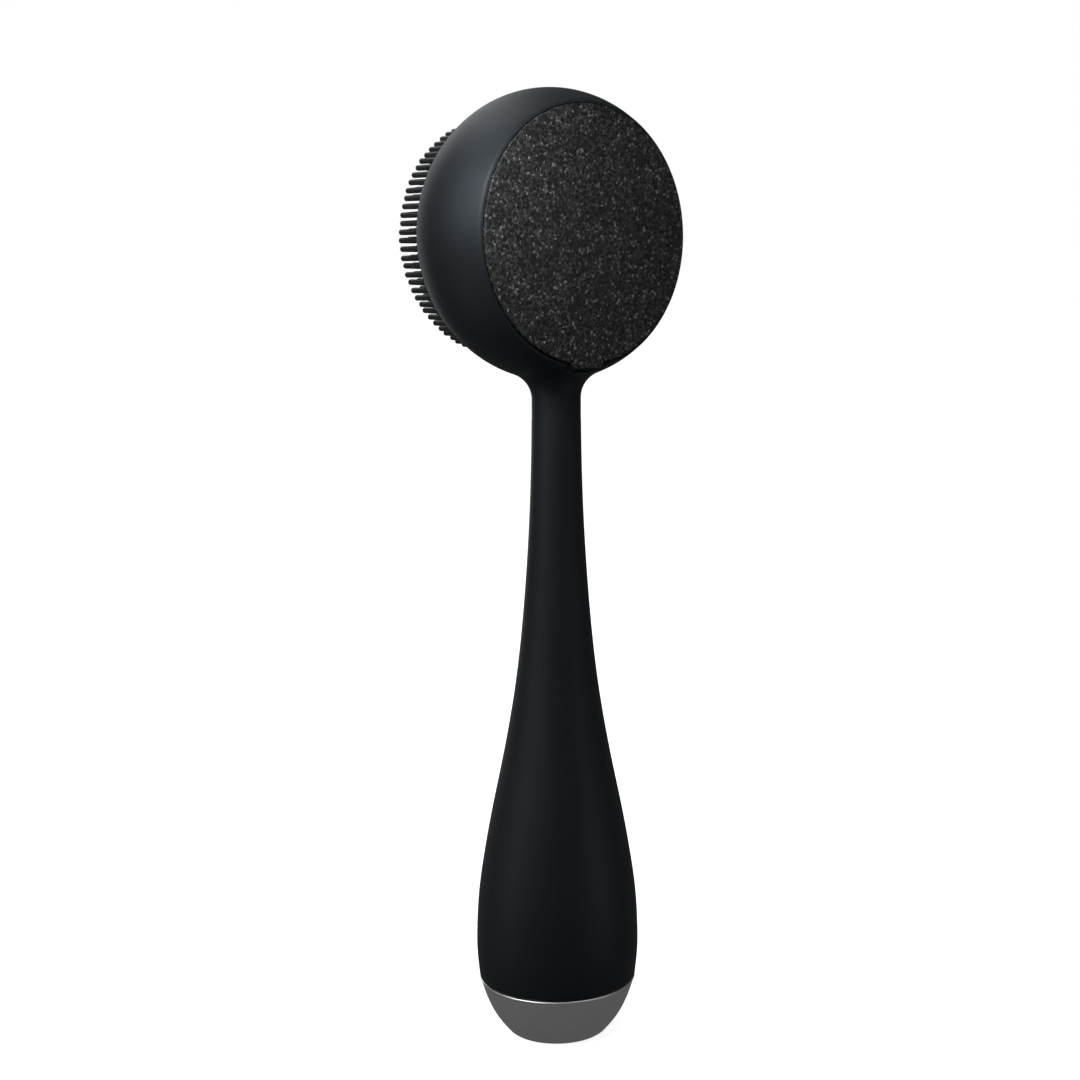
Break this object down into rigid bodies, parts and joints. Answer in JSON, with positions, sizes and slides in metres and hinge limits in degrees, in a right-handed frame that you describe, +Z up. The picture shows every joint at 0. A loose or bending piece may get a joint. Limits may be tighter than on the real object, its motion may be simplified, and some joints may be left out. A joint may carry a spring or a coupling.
{
  "type": "skin scrubber",
  "caption": "Handheld vibrating skin scrubber: round head with silicone bristles on one side and a gritty lift-off pad on the other, long waisted silicone handle, screw-off base cap.",
  "frame": {"origin": "centre of the flat underside of the base cap, on the axis of the handle", "axes": "+Z up the handle to the head, -Y the way the scrub pad faces, +Y the way the bristles face, +X to complete a right-handed frame"},
  "size_m": [0.08, 0.0515, 0.269],
  "materials": {
    "silicone": "matt soft-touch silicone, bluish charcoal",
    "bristle_silicone": "matt silicone, bluish charcoal",
    "grit": "fine black grit in a flexible binder",
    "core_plastic": "fine moulded grain, light grey",
    "cap_metal": "satin gunmetal",
    "dark_plastic": "moulded, dark grey",
    "steel": "zinc-plated steel",
    "magnet": "nickel-plated",
    "seal": "satin black",
    "contact_metal": "plated spring brass",
    "cell_jacket": "plain glossy jacket",
    "board": "solder-masked laminate",
    "chip": "moulded package",
    "lead_red": "insulated wire, red",
    "lead_black": "insulated wire, black",
    "motor_steel": "drawn steel can",
    "bell_plastic": "moulded, ivory",
    "weight_metal": "sintered heavy metal"
  },
  "bodies": {
    "scrubber_body": {"silicone_sleeve": "silicone", "bristle_pad": "bristle_silicone", "pad_magnets": "magnet", "core_front": "core_plastic", "core_rear": "core_plastic", "core_screws": "steel", "thread_collar": "dark_plastic", "battery_tray": "dark_plastic", "battery_left": "cell_jacket", "battery_right": "cell_jacket", "positive_contact": "contact_metal", "negative_contact": "contact_metal", "control_board": "board", "power_switch": "chip", "board_components": "chip", "board_screws": "steel", "motor_lead_red": "lead_red", "motor_lead_black": "lead_black", "button_gasket": "seal", "motor_can": "motor_steel", "motor_end_bell": "bell_plastic", "motor_cradle": "core_plastic", "motor_strap": "steel", "strap_screws": "steel"},
    "scrub_pad_unit": {"scrub_pad": "grit", "pad_plate": "dark_plastic", "keeper_ring": "steel"},
    "contact_unit": {"contact_carrier": "dark_plastic", "bridge_contact": "contact_metal"},
    "end_cap": {"base_cap": "cap_metal", "cap_plug": "dark_plastic", "cap_seal": "seal"},
    "button": {"power_button": "silicone", "button_plunger": "dark_plastic"},
    "rotor": {"motor_shaft": "steel", "eccentric_weight": "weight_metal"}
  },
  "joints": [
    {"name": "pad_pull", "type": "slide", "parent": "scrubber_body", "child": "scrub_pad_unit", "axis": [0, -1, 0], "range_m": [0, 0.02]},
    {"name": "cap_lower", "type": "slide", "parent": "scrubber_body", "child": "contact_unit", "axis": [0, 0, -1], "range_m": [0, 0.012]},
    {"name": "cap_twist", "type": "hinge", "parent": "contact_unit", "child": "end_cap", "pos_m": [0, 0, 0], "axis": [0, 0, -1], "range_deg": [0, 360]},
    {"name": "button_press", "type": "slide", "parent": "scrubber_body", "child": "button", "axis": [0, -1, 0], "range_m": [0, 0.0006], "stiffness_N_per_m": 1500, "springref_m": -0.0004},
    {"name": "motor_spin", "type": "hinge", "parent": "scrubber_body", "child": "rotor", "pos_m": [0, 0.002, 0.229], "axis": [0, 0, 1], "continuous": true}
  ],
  "couplings": [
    {"joint": "cap_lower", "follows": "cap_twist", "m_per_rad": 0.0019098}
  ]
}
